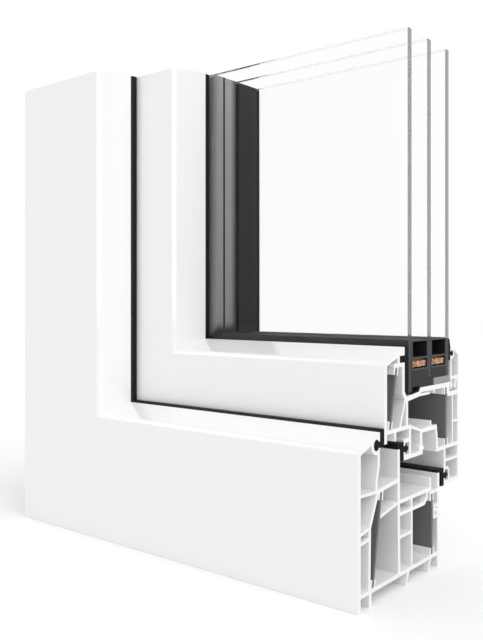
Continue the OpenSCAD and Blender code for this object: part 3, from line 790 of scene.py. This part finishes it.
# Light panels that show only as gloss on the rounded edges, each with its azimuth and height angle
# in degrees and its width and height in metres
PANEL_AIM = Vector((0.0, -0.04, 0.14))
PANEL_DISTANCE = 1.2
PANEL_STRENGTH = 3.0
GLOSS_PANELS = ((20, 13, 2.2, 0.6), (-60, 38, 0.8, 0.6))
CAMERA_PLACE = Vector((0.3058, -0.3588, 0.1425))
CAMERA_AZIMUTH = math.radians(39.21)
CAMERA_LENS = 43.4
CAMERA_SHIFT = -0.0308


def seen_rays(tree):
    """1 for rays that show the surroundings to the camera, straight, mirrored or through glass."""
    path = tree.nodes.new("ShaderNodeLightPath")
    seen = math_node(tree, "MAXIMUM", path.outputs["Is Camera Ray"], path.outputs["Is Glossy Ray"])
    return math_node(tree, "MAXIMUM", seen, path.outputs["Is Transmission Ray"])


def add_floor():
    """A plain pale floor."""
    half = FLOOR_SIZE / 2
    corners = [(-half, -half, 0), (half, -half, 0), (half, half, 0), (-half, half, 0)]
    mesh = bpy.data.meshes.new("floor")
    mesh.from_pydata(corners, [], [(0, 1, 2, 3)])
    material, tree, shader = plain_material("pale_floor", FLOOR_WHITE, 0.9)
    shader.inputs["Specular IOR Level"].default_value = 0.0
    place = tree.nodes.new("ShaderNodeTexCoord")
    away = tree.nodes.new("ShaderNodeVectorMath")
    away.operation = "LENGTH"
    tree.links.new(place.outputs["Object"], away.inputs[0])
    far = smooth_step(tree, away.outputs["Value"], FAR_START, FAR_END)
    two_tone(tree, shader, far, FLOOR_WHITE, FAR_WHITE)
    shader.inputs["Emission Color"].default_value = (1, 1, 1, 1)
    lift = math_node(tree, "MULTIPLY", seen_rays(tree), FLOOR_LIFT)
    tree.links.new(lift, shader.inputs["Emission Strength"])
    mesh.materials.append(material)
    floor = bpy.data.objects.new("floor", mesh)
    bpy.context.scene.collection.objects.link(floor)


def add_sky():
    """White surroundings that also light the object softly."""
    world = bpy.data.worlds.new("studio")
    world.use_nodes = True
    tree = world.node_tree
    back = tree.nodes["Background"]
    back.inputs["Color"].default_value = (1, 1, 1, 1)
    strength = tree.nodes.new("ShaderNodeMapRange")
    strength.inputs["To Min"].default_value = SKY_LIGHT
    strength.inputs["To Max"].default_value = 1.0
    tree.links.new(seen_rays(tree), strength.inputs["Value"])
    tree.links.new(strength.outputs["Result"], back.inputs["Strength"])
    bpy.context.scene.world = world


def add_sun():
    """A wide soft light from above, on the right of the front."""
    light = bpy.data.lights.new("soft_light", "SUN")
    light.energy = SUN_LIGHT
    light.angle = SUN_WIDTH
    lamp = bpy.data.objects.new("soft_light", light)
    lamp.rotation_euler = SUN_WAY.to_track_quat("-Z", "Y").to_euler()
    bpy.context.scene.collection.objects.link(lamp)


def add_gloss_panel(azimuth, rise, width, height):
    """A panel in front of the object that is seen only in its gloss."""
    light = bpy.data.lights.new("gloss_panel", "AREA")
    light.shape = "RECTANGLE"
    light.size = width
    light.size_y = height
    light.energy = PANEL_STRENGTH * math.pi * width * height
    panel = bpy.data.objects.new("gloss_panel", light)
    side = math.radians(azimuth)
    up = math.radians(rise)
    away = Vector((math.sin(side) * math.cos(up), -math.cos(side) * math.cos(up), math.sin(up)))
    panel.location = PANEL_AIM + away * PANEL_DISTANCE
    panel.rotation_euler = (-away).to_track_quat("-Z", "Y").to_euler()
    panel.visible_camera = False
    panel.visible_diffuse = False
    panel.visible_transmission = False
    bpy.context.scene.collection.objects.link(panel)


def add_camera():
    """A level camera at the photograph's angle."""
    view = bpy.data.cameras.new("camera")
    view.lens = CAMERA_LENS
    view.shift_y = CAMERA_SHIFT
    camera = bpy.data.objects.new("camera", view)
    camera.location = CAMERA_PLACE
    ahead = Vector((-math.sin(CAMERA_AZIMUTH), math.cos(CAMERA_AZIMUTH), 0))
    camera.rotation_euler = ahead.to_track_quat("-Z", "Y").to_euler()
    bpy.context.scene.collection.objects.link(camera)
    bpy.context.scene.camera = camera


add_floor()
add_sky()
add_sun()
for panel in GLOSS_PANELS:
    add_gloss_panel(*panel)
add_camera()
bpy.context.scene.view_settings.view_transform = "Standard"
